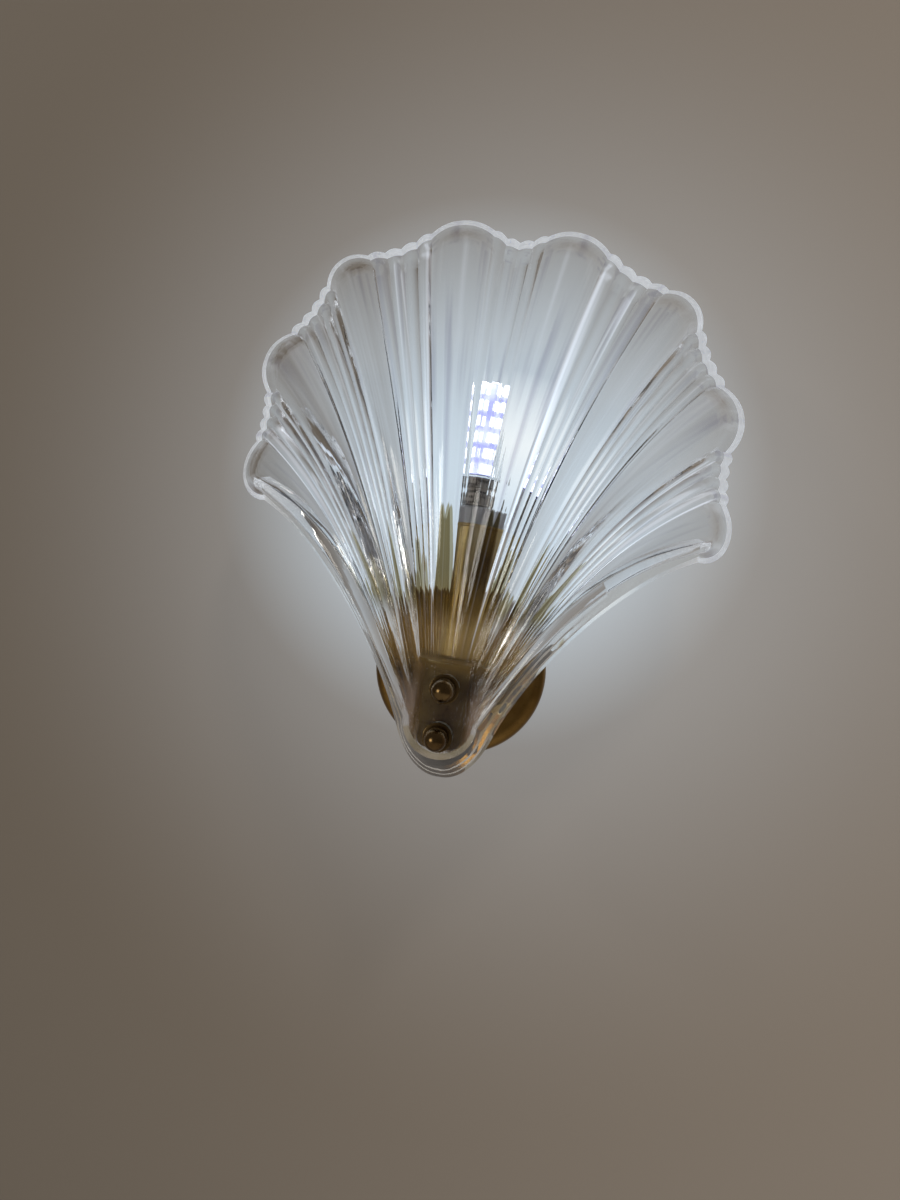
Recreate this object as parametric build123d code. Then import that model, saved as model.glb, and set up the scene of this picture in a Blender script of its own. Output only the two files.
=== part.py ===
from build123d import *
from math import cos, hypot, pi, radians, sin, sqrt
import os

# Wall sconce with a pleated glass shell on a folded brass arm.
# Millimetres. The wall is Y = 0, the room is towards -Y, and +Z is up.
# X = 0, Z = 0 is the middle of the round canopy.

# Wall plate and canopy
CANOPY_R = 40.0
CANOPY_DEPTH = 20.0
CANOPY_WALL = 1.2
CANOPY_ROUND = 5.0
BAR_WIDTH = 16.0
BAR_THICK = 1.8
BAR_TAB_WIDTH = 10.0
BAR_TAB_DEPTH = 14.0
BAR_TAB_GAP = 1.0
WALL_SLOT_SPACING = 50.0
WALL_SLOT_R = 2.2
WALL_SLOT_LENGTH = 9.0
SIDE_SCREW_R = 1.5
SIDE_SCREW_HEAD_R = 3.4
SIDE_SCREW_HEAD = 3.0
EARTH_SCREW_X = 4.0
EARTH_SCREW_Z = -12.5
EARTH_SCREW_R = 1.95
BLOCK_WIDTH = 14.0
BLOCK_HEIGHT = 20.0
BLOCK_DEPTH = 10.0
BLOCK_Z = 16.0
POLE_PITCH = 8.0
POLE_SCREW_R = 1.5

# Folded arm
STRIP_THICK = 2.5
STRIP_BEND = 2.0
LEDGE_TOP_Z = 7.5
LEDGE_WIDTH = 30.0
REAR_DROP = 18.5
DROP_PLATE_WIDTH = 18.0
DROP_PLATE_LOW_Z = -27.4
DROP_PLATE_ROUND = 4.0
ARM_NIPPLE_Z = -4.0
NIPPLE_R = 5.0
NIPPLE_BORE_R = 3.4
LOCK_NUT_FLATS = 14.0
LOCK_NUT_THICK = 3.0

# Lampholder and lamp
LAMP_Y = -48.0
SLEEVE_R = 10.0
SLEEVE_WALL = 0.8
SLEEVE_HEIGHT = 58.0
SOCKET_PROUD = 7.5
SOCKET_HEIGHT = 30.0
SOCKET_GAP = 0.2
PIN_SPACING = 9.0
PIN_R = 0.6
PIN_LENGTH = 10.0
PIN_HOLE_GAP = 0.05
CONTACT_WALL = 0.5
LAMP_BASE_R = 8.0
LAMP_BASE_HEIGHT = 12.0
LAMP_R = 9.0
LAMP_HEIGHT = 42.0
LAMP_GLASS = 1.0
LAMP_CORE_R = 3.2
LAMP_SIT_GAP = 0.02

# Shell screws and ball nuts
SCREW_R = 1.95
UPPER_SCREW_Z = -2.5
LOWER_SCREW_Z = -21.9
SCREW_HEAD_R = 3.6
SCREW_HEAD = 2.2
SCREW_REACH = 8.0
THREAD_GAP = 0.05
SHELL_HOLE_R = 2.5
SHELL_PAD = 1.5
FRONT_PAD = 1.0
PAD_R = 5.6
WASHER_R = 6.0
WASHER_THICK = 1.0
BALL_R = 4.4
COLLAR_R = 4.8
COLLAR_HEIGHT = 3.4
COLLAR_KNURLS = 24
COLLAR_NOTCH = 0.35

# Glass shell: the flat foot that the screws hold
GLASS = 4.5
FOOT_Y = -80.0
FOOT_R = 15.0
FOOT_INSET = 2.0
FOOT_LOW_Z = -16.0
FOOT_HIGH_Z = -5.0
# Its crown, a squared oval, and the corner where the crown meets the flank
CROWN_HALF_WIDTH = 104.2
CROWN_MID_Z = 88.0
CROWN_RISE = 108.0
CROWN_POWER = 2.4
CORNER_X = 96.0
CORNER_Z = 63.5
SHOULDER_DROP = 12.0
SHOULDER_PULL = 0.27
FLANK_PULL_X = 32.0
FLANK_PULL_Z = 14.5
WAIST_X = 20.5
WAIST_Z = -24.0
WAIST_PULL_X = 12.5
WAIST_PULL_Z = 35.0
TOE_Z = -44.8
TOE_PULL = 9.5
# How far each part of the back edge stands off the wall
CROWN_Y = -36.0
CORNER_Y = -43.0
TOE_Y = -48.0
FLANK_ARCH = 15.0
# The skirt between the fluted face and the ground back edge
SKIRT_DEPTH = 8.0
SKIRT_CROWN = 8.0
SKIRT_CORNER = 4.5
EDGE_WIDTH = 4.8
# Ribs, from the foot to the crown
RIB_PULL = 0.38
RIB_START_FAN = 30.0
RIB_END_FAN = 71.0
FACE_BULGE = 9.0
FACE_ROUND = 68.4
FACE_ROWS = 7
# Flutes: wide smooth lobes with groups of narrow reeds between them
LOBES = 8
REEDS = 4
INNER_LOBE_WIDTH = 22.8
OUTER_LOBE_WIDTH = 29.0
LOBE_RISE = 0.25
END_LOBE_RISE = 0.17
LOBE_SHAPE = 2.2
REED_WIDTH = 8.6
REED_WIDTH_STEP = 1.0
REED_BEAD = 1.5
VALLEY = 5.0
VALLEY_STEP = 1.1
FLUTE_TURN = 60.0
FLUTE_GROWTH = 0.8
LINING_RELIEF = 0.85

# Heights and depths that follow from the sizes above
CANOPY_FACE_Y = -CANOPY_DEPTH
REAR_PLATE_Y = CANOPY_FACE_Y - STRIP_THICK
DROP_FRONT_Y = FOOT_Y + GLASS + SHELL_PAD
DROP_BACK_Y = DROP_FRONT_Y + STRIP_THICK
LEDGE_LOW_Z = LEDGE_TOP_Z - STRIP_THICK
WASHER_Y = FOOT_Y - FRONT_PAD
NUT_Y = WASHER_Y - WASHER_THICK
BALL_Y = NUT_Y - COLLAR_HEIGHT - BALL_R + 1.4
SCREW_TIP_Y = FOOT_Y - SCREW_REACH
SOCKET_TOP_Z = LEDGE_TOP_Z + SLEEVE_HEIGHT + SOCKET_PROUD
LAMP_BASE_Z = SOCKET_TOP_Z + LAMP_SIT_GAP
ENVELOPE_Z = LAMP_BASE_Z + LAMP_BASE_HEIGHT


def blend(a, b, t):
    return a + (b - a) * t


def rod_y(radius, near, far, x=0.0, z=0.0):
    """A rod along Y, from near the room to far against the wall."""
    return Pos(x, (near + far) / 2, z) * Rot(90, 0, 0) * Cylinder(radius, far - near)


def rod_z(radius, low, high, x=0.0, y=0.0):
    return Pos(x, y, (low + high) / 2) * Cylinder(radius, high - low)


def block(x0, x1, y0, y1, z0, z1):
    size = Box(x1 - x0, y1 - y0, z1 - z0)
    return Pos((x0 + x1) / 2, (y0 + y1) / 2, (z0 + z1) / 2) * size


def hex_nut(flats, thick, hole):
    """A chamfered hexagon nut on the XY plane."""
    across = flats / sqrt(3)
    nut = extrude(RegularPolygon(across, 6), thick)
    cone = Pos(0, 0, thick / 2) * Cylinder(across * 0.97, thick)
    nut = nut & cone
    return nut - Pos(0, 0, thick / 2) * Cylinder(hole, thick * 2)


def facing_room(shape, y):
    """Turns a shape drawn up Z so that it points at the room from depth y."""
    return Pos(0, y, 0) * Rot(90, 0, 0) * shape


# ---------------------------------------------------------------- canopy


def canopy():
    """A spun brass dish, open to the wall, with a rounded front edge."""
    dish = extrude(Circle(CANOPY_R), CANOPY_DEPTH)
    dish = fillet(dish.faces().sort_by(Axis.Z)[-1].edges(), CANOPY_ROUND)
    inside = extrude(Circle(CANOPY_R - CANOPY_WALL), CANOPY_DEPTH - CANOPY_WALL)
    inside = fillet(inside.faces().sort_by(Axis.Z)[-1].edges(), CANOPY_ROUND - CANOPY_WALL)
    shell = facing_room(dish - inside, 0.0)
    shell -= rod_y(NIPPLE_R + 0.2, -2 * CANOPY_DEPTH, 0.0, 0.0, ARM_NIPPLE_Z)
    bore = rod_z(SIDE_SCREW_R + 0.15, -1.2 * CANOPY_R, 1.2 * CANOPY_R, y=side_screw_y())
    return shell - bore


def side_screw_y():
    return -BAR_TAB_DEPTH * 0.6


def tab_outer_z():
    """The tabs end just inside the canopy wall."""
    inner = CANOPY_R - CANOPY_WALL - BAR_TAB_GAP
    return sqrt(inner**2 - (BAR_TAB_WIDTH / 2) ** 2)


def wall_crossbar():
    """A steel strip on the wall with slots, and a tapped tab at each end."""
    reach = tab_outer_z()
    half = BAR_WIDTH / 2
    tab = BAR_TAB_WIDTH / 2
    bar = block(-half, half, -BAR_THICK, 0.0, -reach + 6.0, reach - 6.0)
    bar += block(-tab, tab, -BAR_THICK, 0.0, -reach, reach)
    for side in (-1, 1):
        low, high = sorted((side * reach, side * (reach - BAR_THICK)))
        bar += block(-tab, tab, -BAR_TAB_DEPTH, 0.0, low, high)
        slot = SlotCenterToCenter(WALL_SLOT_LENGTH - 2 * WALL_SLOT_R, 2 * WALL_SLOT_R)
        cutter = extrude(Rot(0, 0, 90) * slot, 2 * BAR_THICK)
        bar -= Pos(0, BAR_THICK / 2, side * WALL_SLOT_SPACING / 2) * Rot(90, 0, 0) * cutter
    bar -= rod_z(SIDE_SCREW_R + THREAD_GAP, -CANOPY_R, CANOPY_R, y=side_screw_y())
    bar -= rod_y(EARTH_SCREW_R + THREAD_GAP, -20.0, 1.0, EARTH_SCREW_X, EARTH_SCREW_Z)
    bar -= rod_y(POLE_SCREW_R + THREAD_GAP, -20.0, 1.0, 0.0, BLOCK_Z)
    return bar


def canopy_side_screws():
    """Two knurled screws, above and below, that hold the canopy on its bar."""
    tip = tab_outer_z() - BAR_THICK - 3.0
    shank = rod_z(SIDE_SCREW_R, tip, CANOPY_R)
    head = rod_z(SIDE_SCREW_HEAD_R, CANOPY_R + 0.05, CANOPY_R + SIDE_SCREW_HEAD)
    head = chamfer(head.edges().group_by(Axis.Z)[-1], 0.5)
    screw = shank + rod_z(SIDE_SCREW_R, CANOPY_R - 1.0, CANOPY_R + 1.0) + head
    screw = Pos(0, side_screw_y(), 0) * screw
    return [screw, Rot(0, 180, 0) * screw]


def earth_screw():
    """A pan-head screw with its earth washer."""
    head = rod_y(3.6, -BAR_THICK - 3.6, -BAR_THICK - 1.0)
    head = fillet(head.edges().group_by(Axis.Y)[0], 1.0)
    washer = rod_y(4.4, -BAR_THICK - 1.0, -BAR_THICK)
    slot = block(-4.0, 4.0, -BAR_THICK - 4.0, -BAR_THICK - 2.8, -0.5, 0.5)
    screw = head + washer + rod_y(EARTH_SCREW_R, -BAR_THICK - 1.0, -0.2)
    return Pos(EARTH_SCREW_X, 0, EARTH_SCREW_Z) * (screw - slot)


def terminal_block():
    """A two-pole block screwed to the bar."""
    half = BLOCK_WIDTH / 2
    tall = BLOCK_HEIGHT / 2
    body = block(-half, half, -BAR_THICK - BLOCK_DEPTH, -BAR_THICK, -tall, tall)
    body = fillet(body.edges().group_by(Axis.Y)[0], 1.0)
    body = Pos(0, 0, BLOCK_Z) * body
    for z in pole_heights():
        body -= rod_y(POLE_SCREW_R + 0.15, -BAR_THICK - BLOCK_DEPTH - 1, -BAR_THICK - 4.0, 0.0, z)
    body -= rod_y(POLE_SCREW_R + 0.15, -BAR_THICK - BLOCK_DEPTH - 1, 0.0, 0.0, BLOCK_Z)
    body -= rod_y(2.8, -BAR_THICK - BLOCK_DEPTH - 1, -BAR_THICK - 7.0, 0.0, BLOCK_Z)
    for z in pole_heights():
        mouth = Pos(0, -BAR_THICK - BLOCK_DEPTH / 2, z) * Rot(0, 90, 0)
        body -= mouth * Cylinder(1.6, BLOCK_WIDTH * 2)
    return body


def pole_heights():
    return (BLOCK_Z - POLE_PITCH * 0.8, BLOCK_Z + POLE_PITCH * 0.8)


def terminal_screws():
    """The two pole screws and the middle screw that holds the block."""
    face = -BAR_THICK - BLOCK_DEPTH
    poles = [rod_y(POLE_SCREW_R, face + 0.6, face + 5.9, 0.0, z) for z in pole_heights()]
    hold = rod_y(POLE_SCREW_R, -BAR_THICK - 7.0, -0.2, 0.0, BLOCK_Z)
    hold += rod_y(2.6, -BAR_THICK - 9.0, -BAR_THICK - 7.0, 0.0, BLOCK_Z)
    return poles + [hold]


# ------------------------------------------------------------------- arm


def folded_strip():
    """Rear plate, level ledge and front drop plate, folded from one strip."""
    path = Polyline(
        (REAR_PLATE_Y + STRIP_THICK / 2, LEDGE_LOW_Z - REAR_DROP),
        (REAR_PLATE_Y + STRIP_THICK / 2, LEDGE_TOP_Z - STRIP_THICK / 2),
        (DROP_FRONT_Y + STRIP_THICK / 2, LEDGE_TOP_Z - STRIP_THICK / 2),
        (DROP_FRONT_Y + STRIP_THICK / 2, DROP_PLATE_LOW_Z),
    )
    path = FilletPolyline(*[path @ 0] + corner_points(path) + [path @ 1], radius=STRIP_BEND)
    band = trace(path, line_width=STRIP_THICK)
    half = LEDGE_WIDTH / 2
    return Plane.YZ * extrude(Pos(0, 0, -half) * band, LEDGE_WIDTH)


def corner_points(path):
    return [edge @ 1 for edge in path.edges()[:-1]]


def arm_bracket():
    strip = folded_strip()
    strip -= drop_plate_trim()
    strip -= rod_y(NIPPLE_R + 0.1, REAR_PLATE_Y - STRIP_THICK, 0.0, 0.0, ARM_NIPPLE_Z)
    strip -= rod_z(NIPPLE_R + 0.1, LEDGE_LOW_Z - STRIP_THICK, LEDGE_TOP_Z + STRIP_THICK, y=LAMP_Y)
    for z in (UPPER_SCREW_Z, LOWER_SCREW_Z):
        strip -= rod_y(SCREW_R + 0.2, FOOT_Y, DROP_BACK_Y + STRIP_THICK, 0.0, z)
    return strip


def drop_plate_trim():
    """Narrows the front of the strip to the drop plate and rounds its end."""
    half = DROP_PLATE_WIDTH / 2
    wide = LEDGE_WIDTH
    shoulder = DROP_BACK_Y + 3.0
    low = DROP_PLATE_LOW_Z - 1.0
    trim = block(-wide, wide, FOOT_Y, shoulder, low - 5.0, 20.0)
    height = 20.0 - DROP_PLATE_LOW_Z
    tongue = extrude(RectangleRounded(2 * half, 2 * height, DROP_PLATE_ROUND), 30.0)
    tongue = Pos(0, shoulder + 1.0, DROP_PLATE_LOW_Z + height) * Rot(90, 0, 0) * tongue
    return trim - tongue


def arm_nipple():
    """A hollow threaded tube that joins the arm to the canopy."""
    front = REAR_PLATE_Y - LOCK_NUT_THICK - 1.5
    back = CANOPY_FACE_Y + CANOPY_WALL + LOCK_NUT_THICK + 1.5
    tube = rod_y(NIPPLE_R, front, back) - rod_y(NIPPLE_BORE_R, front - 1, back + 1)
    return Pos(0, 0, ARM_NIPPLE_Z) * tube


def arm_nipple_nuts():
    nut = hex_nut(LOCK_NUT_FLATS, LOCK_NUT_THICK, NIPPLE_R + THREAD_GAP)
    front = facing_room(nut, REAR_PLATE_Y)
    back = facing_room(nut, CANOPY_FACE_Y + CANOPY_WALL + LOCK_NUT_THICK)
    return [Pos(0, 0, ARM_NIPPLE_Z) * front, Pos(0, 0, ARM_NIPPLE_Z) * back]


def lamp_nipple():
    """The hollow tube that carries the lampholder on the ledge."""
    low = LEDGE_LOW_Z - LOCK_NUT_THICK - 1.5
    high = LEDGE_TOP_Z + SLEEVE_WALL + LOCK_NUT_THICK + 4.0
    tube = rod_z(NIPPLE_R, low, high, y=LAMP_Y)
    return tube - rod_z(NIPPLE_BORE_R, low - 1, high + 1, y=LAMP_Y)


def lamp_nipple_nuts():
    nut = hex_nut(LOCK_NUT_FLATS, LOCK_NUT_THICK, NIPPLE_R + THREAD_GAP)
    below = Pos(0, LAMP_Y, LEDGE_LOW_Z - LOCK_NUT_THICK) * nut
    above = Pos(0, LAMP_Y, LEDGE_TOP_Z + SLEEVE_WALL) * nut
    return [below, above]


# ---------------------------------------------------------- lampholder


def holder_sleeve():
    """A deep brass cup with a rolled lip, bolted down by the nipple."""
    low = LEDGE_TOP_Z
    high = low + SLEEVE_HEIGHT
    cup = rod_z(SLEEVE_R, low, high, y=LAMP_Y)
    cup = fillet(cup.edges().group_by(Axis.Z)[0], 1.5)
    lip = Pos(0, LAMP_Y, high - 0.8) * Torus(SLEEVE_R, 0.7)
    cup = cup + lip
    cup -= rod_z(SLEEVE_R - SLEEVE_WALL, low + SLEEVE_WALL, high + 5.0, y=LAMP_Y)
    return cup - rod_z(NIPPLE_R + 0.1, low - 1.0, low + 2.0, y=LAMP_Y)


def socket_r():
    return SLEEVE_R - SLEEVE_WALL - SOCKET_GAP


def socket_body():
    """A ceramic plug with a rounded top, two pin holes and contact wells."""
    low = SOCKET_TOP_Z - SOCKET_HEIGHT
    body = rod_z(socket_r(), low, SOCKET_TOP_Z)
    body = fillet(body.edges().group_by(Axis.Z)[-1], 1.2)
    for x in pin_places():
        body -= rod_z(PIN_R + CONTACT_WALL + 0.15, low - 1.0, SOCKET_TOP_Z - 2.0, x=x)
        body -= rod_z(PIN_R + CONTACT_WALL + 0.15, SOCKET_TOP_Z - 2.2, SOCKET_TOP_Z + 1.0, x=x)
    return Pos(0, LAMP_Y, 0) * body


def pin_places():
    return (-PIN_SPACING / 2, PIN_SPACING / 2)


def socket_contacts():
    """Sprung brass tubes that take the lamp's pins."""
    high = SOCKET_TOP_Z - 1.0
    low = SOCKET_TOP_Z - SOCKET_HEIGHT + 2.0
    tubes = []
    for x in pin_places():
        tube = rod_z(PIN_R + PIN_HOLE_GAP + CONTACT_WALL, low, high, x=x)
        tube -= rod_z(PIN_R + PIN_HOLE_GAP, high - PIN_LENGTH - 2.0, high + 1.0, x=x)
        tubes.append(Pos(0, LAMP_Y, 0) * tube)
    return tubes


def bulb_base():
    """The lamp's collar, waisted, with holes that hold the pins."""
    low = LAMP_BASE_Z
    base = rod_z(LAMP_BASE_R, low, low + LAMP_BASE_HEIGHT)
    base = fillet(base.edges().group_by(Axis.Z)[0], 1.5)
    groove = Pos(0, 0, low + LAMP_BASE_HEIGHT * 0.55) * Torus(LAMP_BASE_R + 0.6, 1.4)
    return Pos(0, LAMP_Y, 0) * (base - groove)


def bulb_pins():
    pins = []
    for x in pin_places():
        pin = rod_z(PIN_R, LAMP_BASE_Z - PIN_LENGTH, LAMP_BASE_Z, x=x)
        pin = chamfer(pin.edges().group_by(Axis.Z)[0], 0.2)
        pins.append(Pos(0, LAMP_Y, 0) * pin)
    return pins


def capsule_profile(radius, low, high):
    """Half the outline of a capsule with a domed top, on the XZ plane."""
    dome = high - radius
    line = Polyline((0, low), (radius, low), (radius, dome))
    arc = RadiusArc((radius, dome), (0, high), -radius)
    close = Line((0, high), (0, low))
    return Plane.XZ * make_face(line.edges() + arc.edges() + close.edges())


def bulb_envelope():
    """A clear capsule, domed at the top and closed at the collar."""
    high = ENVELOPE_Z + LAMP_HEIGHT
    outer = revolve(capsule_profile(LAMP_R, ENVELOPE_Z, high), Axis.Z)
    inner_r = LAMP_R - LAMP_GLASS
    inner = revolve(capsule_profile(inner_r, ENVELOPE_Z + LAMP_GLASS, high - LAMP_GLASS), Axis.Z)
    return Pos(0, LAMP_Y, 0) * (outer - inner)


def led_core():
    """The lit core: a rod of light chips inside the capsule."""
    low = ENVELOPE_Z + LAMP_GLASS
    core = rod_z(LAMP_CORE_R, low, low + LAMP_HEIGHT * 0.72)
    core = fillet(core.edges().group_by(Axis.Z)[-1], 1.0)
    return Pos(0, LAMP_Y, 0) * core


# ----------------------------------------------------------- glass shell


def crown_edge():
    """The squared oval through the flute roots, from the top to its side."""
    points = []
    for step in range(33):
        turn = step / 32 * pi / 2
        x = CROWN_HALF_WIDTH * sin(turn) ** (2 / CROWN_POWER)
        z = CROWN_MID_Z + CROWN_RISE * max(cos(turn), 0.0) ** (2 / CROWN_POWER)
        points.append((x, z))
    return Spline(*points, tangents=[(1, 0), (0, -1)])


def shoulder_edge():
    """From the side of the crown round to the corner."""
    return Bezier(
        (CROWN_HALF_WIDTH, CROWN_MID_Z),
        (CROWN_HALF_WIDTH, CROWN_MID_Z - SHOULDER_DROP),
        (CORNER_X + SHOULDER_PULL * FLANK_PULL_X, CORNER_Z + SHOULDER_PULL * FLANK_PULL_Z),
        (CORNER_X, CORNER_Z),
    )


def flank_edge():
    """From the corner down the flared flank to the waist beside the foot."""
    return Bezier(
        (CORNER_X, CORNER_Z),
        (CORNER_X - FLANK_PULL_X, CORNER_Z - FLANK_PULL_Z),
        (WAIST_X + WAIST_PULL_X, WAIST_Z + WAIST_PULL_Z),
        (WAIST_X, WAIST_Z),
    )


def toe_edge():
    """Round under the foot from the waist to the middle."""
    pull = 0.32
    return Bezier(
        (WAIST_X, WAIST_Z),
        (WAIST_X - pull * WAIST_PULL_X, WAIST_Z - pull * WAIST_PULL_Z),
        (TOE_PULL, TOE_Z),
        (0.0, TOE_Z),
    )


def foot_outline(share):
    """Round the flat foot, from its top middle to the start of the flank."""
    arc = FOOT_R * pi / 2
    run = share * (arc + FOOT_HIGH_Z - FOOT_LOW_Z)
    if run > arc:
        return FOOT_R, FOOT_HIGH_Z - (run - arc)
    turn = run / FOOT_R
    return FOOT_R * sin(turn), FOOT_HIGH_Z + FOOT_R * cos(turn)


def lobe_width(group):
    return INNER_LOBE_WIDTH if group < 2 else OUTER_LOBE_WIDTH


def lobe_height(group):
    rise = END_LOBE_RISE if group == LOBES // 2 - 1 else LOBE_RISE
    return rise * lobe_width(group)


def flute_pattern(reed_steps, lobe_steps, bead):
    """Shares of the half crown and the relief there, from the middle out."""
    marks = []
    run = 0.0
    for group in range(LOBES // 2):
        reeds = REEDS // 2 if group == 0 else REEDS
        width = REED_WIDTH - REED_WIDTH_STEP * group
        valley = VALLEY - VALLEY_STEP * group
        for reed in range(reeds):
            for step in range(reed_steps):
                t = step / reed_steps
                phase = (REEDS - reeds + reed + t) / REEDS
                marks.append((run + width * t, bead * sin(pi * t) - valley * sin(pi * phase)))
            run += width
        width = lobe_width(group)
        for step in range(lobe_steps):
            t = step / lobe_steps
            round_top = 1 - abs(2 * t - 1) ** LOBE_SHAPE
            marks.append((run + width * t, lobe_height(group) * round_top))
        run += width
    marks.append((run, 0.0))
    return [(place / run, rise) for place, rise in marks]


class Rib:
    """One line of the fan, from the foot to the crown, and its relief."""

    def __init__(self, share, rise, crown, corner_normal):
        self.share = share
        self.rise = rise
        at = crown.position_at(share)
        along = crown.tangent_at(share)
        self.tip = (at.X, at.Y)
        self.normal = (-along.Y, along.X) if share < 0.9999 else corner_normal

    def level(self, v, inset):
        """Where the rib passes, seen from the room, at the fraction v."""
        x0, z0 = foot_outline(self.share)
        shrink = 1 - min(inset, FOOT_INSET) / FOOT_R
        z0 -= (1 - shrink) * max(z0 - FOOT_HIGH_Z, 0.0)
        x0 *= shrink
        back = blend(SKIRT_CROWN, SKIRT_CORNER, self.share**6) + inset
        x3 = self.tip[0] - self.normal[0] * back
        z3 = self.tip[1] - self.normal[1] * back
        pull = hypot(x3 - x0, z3 - z0) * RIB_PULL
        start = radians(RIB_START_FAN * self.share**0.95)
        end = radians(RIB_END_FAN * self.share**1.1)
        u = 1 - v
        w0, w1, w2, w3 = u**3, 3 * u * u * v, 3 * u * v * v, v**3
        x = w0 * x0 + w1 * (x0 + pull * sin(start)) + w2 * (x3 - pull * sin(end)) + w3 * x3
        z = w0 * z0 + w1 * (z0 + pull * cos(start)) + w2 * (z3 - pull * cos(end)) + w3 * z3
        return x, z

    def back_y(self):
        return blend(CROWN_Y, CORNER_Y, self.share**3)

    def depth(self, v):
        """The domed face, level at the foot and falling back to the crown."""
        reach = sin(radians(FACE_ROUND))
        fall = 1 - sqrt(1 - (reach * v) ** 2)
        full = 1 - sqrt(1 - reach**2)
        face = blend(FOOT_Y, self.back_y() - SKIRT_DEPTH, fall / full)
        return face - FACE_BULGE * sin(pi * v) * v**0.3

    def face_point(self, v, inset):
        """A point of the face, or of its lining when inset is not zero."""
        x, z = self.level(v, inset)
        y = self.depth(v * (1 - inset / CROWN_RISE / 1.8))
        rise = self.rise * v**FLUTE_GROWTH
        if inset:
            y += GLASS * (1 + 0.31 * v**3)
            rise *= LINING_RELIEF
        turn = radians(FLUTE_TURN) * v**3
        outward = rise * sin(turn)
        x += outward * self.normal[0]
        z += outward * self.normal[1]
        return Vector(x, y - rise * cos(turn), z)

    def back_point(self, inset):
        """A point of the ground back edge."""
        out = self.rise * sin(radians(FLUTE_TURN))
        if inset:
            out = out * LINING_RELIEF - EDGE_WIDTH
        return Vector(self.tip[0] + out * self.normal[0], self.back_y(), self.tip[1] + out * self.normal[1])


def both_sides(points):
    """The left half mirrored before the right half."""
    left = [Vector(-p.X, p.Y, p.Z) for p in reversed(points[1:])]
    return left + points


def even_spline(points):
    last = len(points) - 1
    return Edge.make_spline(points, parameters=[i / last for i in range(last + 1)])


def flank_normal():
    run = hypot(FLANK_PULL_X, FLANK_PULL_Z)
    return FLANK_PULL_Z / run, -FLANK_PULL_X / run


def flank_points(wire, start, end, inset, steps=16):
    """Points of the back edge below the corner, with their arch."""
    points = []
    for step in range(steps + 1):
        t = blend(start, end, step / steps)
        at = wire.position_at(t)
        along = wire.tangent_at(t)
        normal = (-along.Y, along.X) if t > 0.0001 else flank_normal()
        if t > 0.9999:
            normal = (0.0, -1.0)
        y = blend(CORNER_Y, TOE_Y, t) - FLANK_ARCH * sin(pi * t)
        points.append(Vector(at.X - inset * normal[0], y, at.Y - inset * normal[1]))
    return points


def ruled(first, second):
    """A ruled face between two edges, whichever way they run."""
    if (first @ 0 - second @ 0).length > (first @ 0 - second @ 1).length:
        second = second.reversed()
    return Face.make_surface_from_curves(first, second)


def nearest(edges, point):
    return min(edges, key=lambda edge: (edge.position_at(0.5) - point).length)


def foot_round(radius, y):
    """The lower half of the foot's outline."""
    turns = [pi * i / 16 for i in range(17)]
    return Edge.make_spline([Vector(radius * cos(a), y, FOOT_LOW_Z - radius * sin(a)) for a in turns])


def shell_skin(inset):
    """The faces of one side of the glass and the four edges at its back."""
    crown = Wire(crown_edge().edges() + shoulder_edge().edges())
    flank = Wire(flank_edge().edges() + toe_edge().edges())
    waist = flank_edge().length / flank.length
    pattern = flute_pattern(1, 6, 0.0) if inset else flute_pattern(2, 6, REED_BEAD)
    ribs = [Rib(share, rise, crown, flank_normal()) for share, rise in pattern]
    rows = [(1 - cos(pi * i / FACE_ROWS)) / 2 for i in range(FACE_ROWS + 1)]
    lines = [even_spline(both_sides([rib.face_point(v, inset) for rib in ribs])) for v in rows]
    face = Shell.make_loft([Wire([line]) for line in lines]).faces()[0]
    edges = face.edges()
    middle = ribs[-1].face_point(0.5, inset)
    width = EDGE_WIDTH if inset else 0.0
    foot_y = FOOT_Y + (GLASS if inset else 0.0)
    side = flank_points(flank, 0.0, waist, width)
    under = flank_points(flank, waist, 1.0, width)
    under += [Vector(-p.X, p.Y, p.Z) for p in reversed(under[:-1])]
    fronts = [
        nearest(edges, ribs[0].face_point(1.0, inset)),
        nearest(edges, middle),
        nearest(edges, Vector(-middle.X, middle.Y, middle.Z)),
        foot_round(FOOT_R - min(inset, FOOT_INSET), foot_y),
    ]
    backs = [
        even_spline(both_sides([rib.back_point(inset) for rib in ribs])),
        Edge.make_spline(side),
        Edge.make_spline([Vector(-p.X, p.Y, p.Z) for p in side]),
        Edge.make_spline(under),
    ]
    foot_top = nearest(edges, ribs[0].face_point(0.0, inset))
    faces = [face, Face(Wire([foot_top, fronts[3]]))]
    faces += [ruled(front, back) for front, back in zip(fronts, backs)]
    return faces, backs


def glass_shade():
    """A pressed glass shell: fluted face, lining, skirts and ground edge."""
    outer, outer_backs = shell_skin(0.0)
    inner, inner_backs = shell_skin(GLASS)
    edge = [ruled(a, b) for a, b in zip(outer_backs, inner_backs)]
    glass = Solid(Shell(outer + inner + edge))
    for z in (UPPER_SCREW_Z, LOWER_SCREW_Z):
        glass -= rod_y(SHELL_HOLE_R, FOOT_Y - 10.0, FOOT_Y + 10.0, 0.0, z)
    return glass


# ----------------------------------------------------- shell fasteners


def at_both_screws(shape):
    return [Pos(0, 0, UPPER_SCREW_Z) * shape, Pos(0, 0, LOWER_SCREW_Z) * shape]


def shade_screws():
    """Two long screws through the drop plate, heads behind it."""
    head = rod_y(SCREW_HEAD_R, DROP_BACK_Y, DROP_BACK_Y + SCREW_HEAD)
    head = fillet(head.edges().group_by(Axis.Y)[-1], 0.8)
    shank = rod_y(SCREW_R, SCREW_TIP_Y, DROP_BACK_Y + 1.0)
    shank = chamfer(shank.edges().group_by(Axis.Y)[0], 0.3)
    return at_both_screws(head + shank)


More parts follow.
